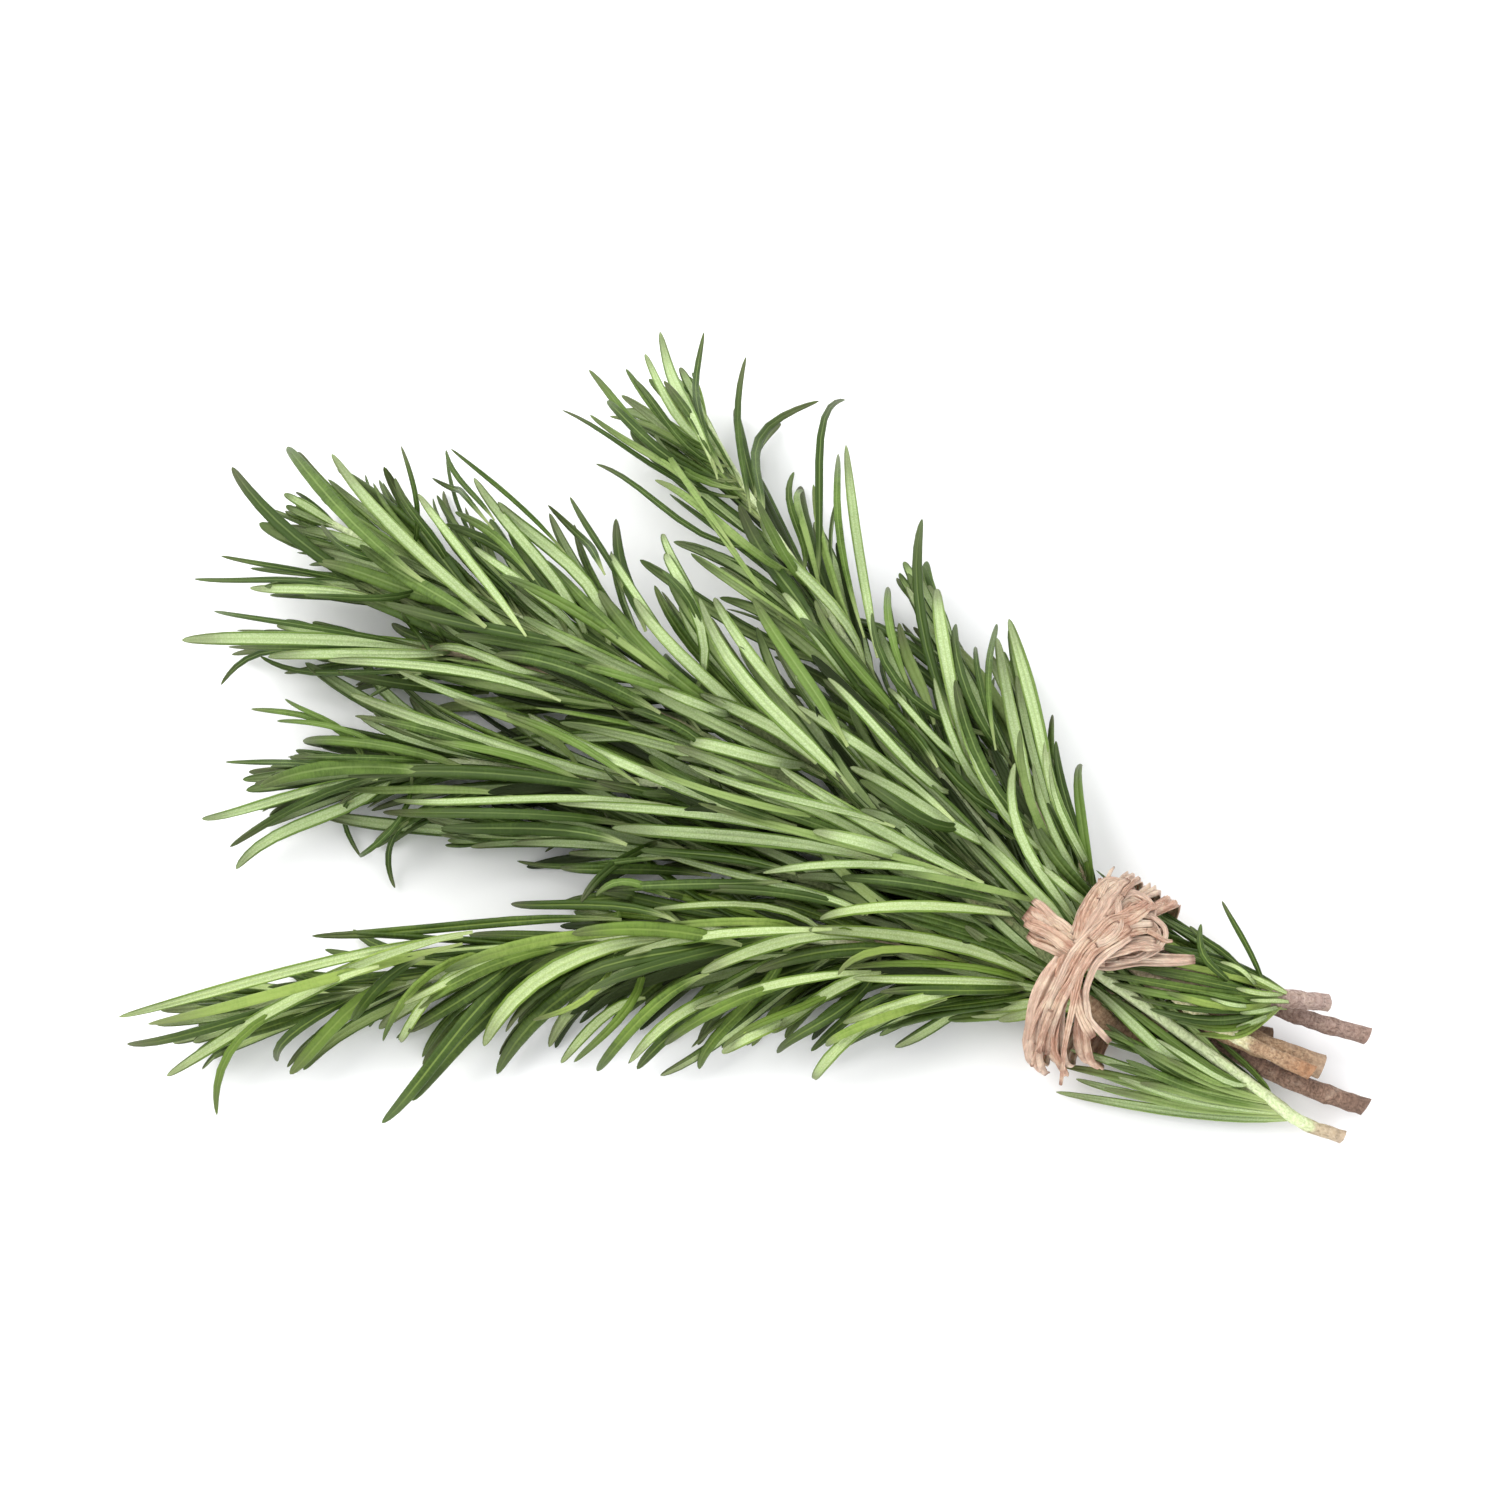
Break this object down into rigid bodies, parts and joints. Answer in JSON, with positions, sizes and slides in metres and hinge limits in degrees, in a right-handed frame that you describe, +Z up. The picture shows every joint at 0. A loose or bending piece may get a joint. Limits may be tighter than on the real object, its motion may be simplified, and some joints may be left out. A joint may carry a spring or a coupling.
{
  "type": "rosemary bunch",
  "caption": "Bunch of fresh rosemary sprigs, slender needle leaves on woody stems, tied near the cut ends with flat raffia and lying on its side",
  "frame": {"origin": "centre of the bunch's footprint, on the surface that it lies on", "axes": "+Z up off the surface that it lies on, +X towards the cut ends of the stems, -X towards the leafy tips, +Y towards the side where the steep sprigs fan out"},
  "size_m": [0.2059, 0.1386, 0.0331],
  "materials": {
    "leaf": "leathery green leaf, satin above and felted pale grey-green below",
    "young_leaf": "younger, yellower green leaf, satin above and felted pale below",
    "young_stem": "pale green young stem with a greyish brown foot",
    "woody_stem": "matt brown bark with leaf scars and pale cut wood at the end",
    "raffia": "dry fibrous straw, matt with a slight sheen along the fibres"
  },
  "bodies": {
    "root": {"sprig_a_stem": "young_stem", "sprig_a_leaves": "leaf", "sprig_b_stem": "woody_stem", "sprig_b_leaves": "leaf", "sprig_c_stem": "woody_stem", "sprig_c_leaves": "leaf", "sprig_d_stem": "woody_stem", "sprig_d_leaves": "leaf", "sprig_e_stem": "woody_stem", "sprig_e_leaves": "young_leaf", "sprig_f_stem": "woody_stem", "sprig_f_leaves": "leaf", "sprig_g_stem": "woody_stem", "sprig_g_leaves": "leaf", "sprig_h_stem": "woody_stem", "sprig_h_leaves": "leaf", "raffia_strand_1": "raffia", "raffia_strand_2": "raffia", "raffia_strand_3": "raffia", "raffia_knot": "raffia"}
  },
  "joints": []
}
